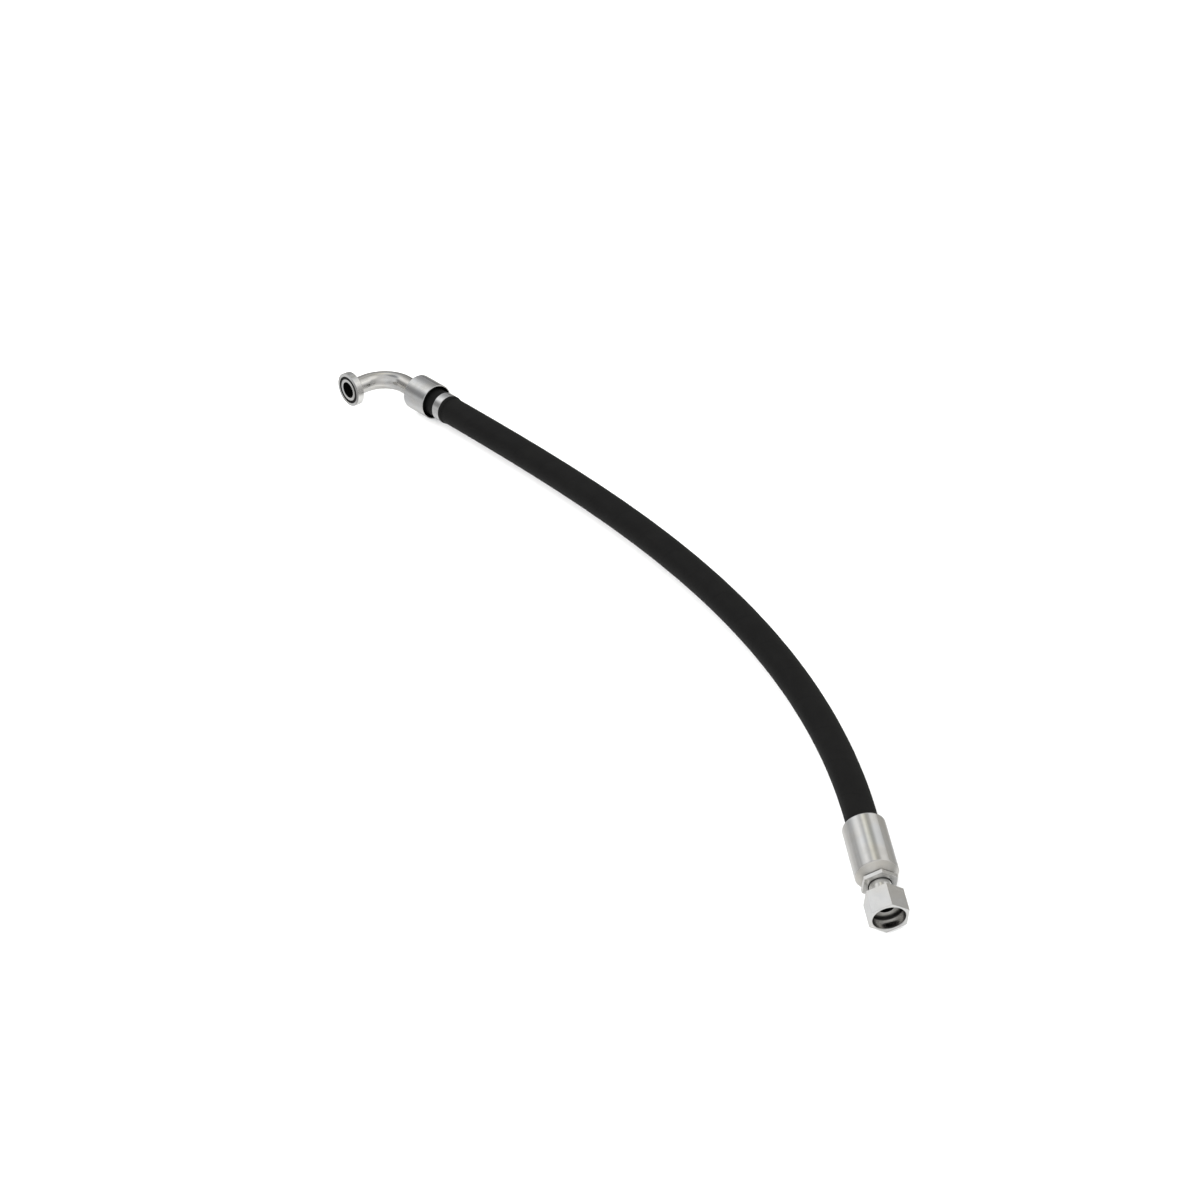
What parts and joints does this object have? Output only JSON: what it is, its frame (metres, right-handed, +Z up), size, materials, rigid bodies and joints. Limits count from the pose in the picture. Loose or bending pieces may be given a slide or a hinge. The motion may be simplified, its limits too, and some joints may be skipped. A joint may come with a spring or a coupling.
{
  "type": "hydraulic hose assembly",
  "caption": "Black high-pressure hose, curved to one side, with a bent split-flange fitting on one end and a swivel nut fitting with a flat seat on the other.",
  "frame": {"origin": "centre of the assembly's bounding box seen from above, at its lowest point (the underside of the ferrules)", "axes": "+Z up, normal to the plane the hose curves in; +X along the hose where it leaves the flange-end ferrule, which is the assembly's longest direction; the hose curves towards -Y"},
  "size_m": [1.084, 0.267, 0.0618],
  "materials": {
    "plated_steel": "bright zinc-nickel plating, light tool marks",
    "swaged_steel": "bright plated, fine lengthwise swaging streaks",
    "band_steel": "thin bright strip",
    "cover_rubber": "matte black with a fine cloth mark",
    "seal_rubber": "smooth black",
    "brass_wire": "brass-coated steel wire",
    "bronze": "plain turned ring"
  },
  "bodies": {
    "flange_end": {"flange_head": "plated_steel", "flange_o_ring": "seal_rubber", "elbow_pipe": "plated_steel", "nipple_a": "plated_steel", "ferrule_a": "swaged_steel", "tag_band": "band_steel", "band_collar": "cover_rubber", "hose_cover_1": "cover_rubber", "hose_wire_1": "brass_wire", "hose_tube_1": "seal_rubber"},
    "hose_section_2": {"hose_cover_2": "cover_rubber", "hose_wire_2": "brass_wire", "hose_tube_2": "seal_rubber"},
    "hose_section_3": {"hose_cover_3": "cover_rubber", "hose_wire_3": "brass_wire", "hose_tube_3": "seal_rubber"},
    "hose_section_4": {"hose_cover_4": "cover_rubber", "hose_wire_4": "brass_wire", "hose_tube_4": "seal_rubber"},
    "hose_section_5": {"hose_cover_5": "cover_rubber", "hose_wire_5": "brass_wire", "hose_tube_5": "seal_rubber"},
    "hose_section_6": {"hose_cover_6": "cover_rubber", "hose_wire_6": "brass_wire", "hose_tube_6": "seal_rubber"},
    "hose_section_7": {"hose_cover_7": "cover_rubber", "hose_wire_7": "brass_wire", "hose_tube_7": "seal_rubber"},
    "hose_section_8": {"hose_cover_8": "cover_rubber", "hose_wire_8": "brass_wire", "hose_tube_8": "seal_rubber"},
    "nut_end": {"hose_cover_9": "cover_rubber", "hose_wire_9": "brass_wire", "hose_tube_9": "seal_rubber", "ferrule_b": "swaged_steel", "insert_b": "plated_steel", "union_stem": "plated_steel"},
    "thrust": {"thrust_ring": "bronze"},
    "nut": {"swivel_nut": "plated_steel"}
  },
  "joints": [
    {"name": "hose_bend_near_flange", "type": "hinge", "parent": "flange_end", "child": "hose_section_2", "pos_m": [-0.38042, 0.11213, 0.0214], "axis": [0, 0, -1], "range_deg": [-10, 14], "stiffness_Nm_per_rad": 4},
    {"name": "hose_bend_2", "type": "hinge", "parent": "hose_section_2", "child": "hose_section_3", "pos_m": [-0.263, 0.11109, 0.0214], "axis": [0, 0, -1], "range_deg": [-10, 14], "stiffness_Nm_per_rad": 4},
    {"name": "hose_bend_3", "type": "hinge", "parent": "hose_section_3", "child": "hose_section_4", "pos_m": [-0.14563, 0.10737, 0.0214], "axis": [0, 0, -1], "range_deg": [-10, 14], "stiffness_Nm_per_rad": 4},
    {"name": "hose_bend_4", "type": "hinge", "parent": "hose_section_4", "child": "hose_section_5", "pos_m": [-0.02853, 0.09878, 0.0214], "axis": [0, 0, -1], "range_deg": [-10, 14], "stiffness_Nm_per_rad": 4},
    {"name": "hose_bend_near_nut", "type": "hinge", "parent": "hose_section_5", "child": "hose_section_6", "pos_m": [0.08777, 0.08275, 0.0214], "axis": [0, 0, -1], "range_deg": [-12, 12], "stiffness_Nm_per_rad": 4},
    {"name": "hose_bend_6", "type": "hinge", "parent": "hose_section_6", "child": "hose_section_7", "pos_m": [0.20216, 0.05644, 0.0214], "axis": [0, 0, -1], "range_deg": [-12, 12], "stiffness_Nm_per_rad": 4},
    {"name": "hose_bend_7", "type": "hinge", "parent": "hose_section_7", "child": "hose_section_8", "pos_m": [0.31264, 0.01691, 0.0214], "axis": [0, 0, -1], "range_deg": [-12, 12], "stiffness_Nm_per_rad": 4},
    {"name": "hose_bend_8", "type": "hinge", "parent": "hose_section_8", "child": "nut_end", "pos_m": [0.41613, -0.03834, 0.0214], "axis": [0, 0, -1], "range_deg": [-12, 12], "stiffness_Nm_per_rad": 4},
    {"name": "nut_slide", "type": "slide", "parent": "nut_end", "child": "thrust", "axis": [0.8251, -0.565, 0], "range_m": [-0.013, 0]},
    {"name": "nut_spin", "type": "hinge", "parent": "thrust", "child": "nut", "pos_m": [0.51964, -0.10921, 0.0214], "axis": [0.8251, -0.565, 0], "continuous": true}
  ],
  "couplings": [
    {"joint": "hose_bend_2", "follows": "hose_bend_near_flange", "ratio": 1},
    {"joint": "hose_bend_3", "follows": "hose_bend_near_flange", "ratio": 1},
    {"joint": "hose_bend_4", "follows": "hose_bend_near_flange", "ratio": 1},
    {"joint": "hose_bend_6", "follows": "hose_bend_near_nut", "ratio": 1},
    {"joint": "hose_bend_7", "follows": "hose_bend_near_nut", "ratio": 1},
    {"joint": "hose_bend_8", "follows": "hose_bend_near_nut", "ratio": 1}
  ]
}
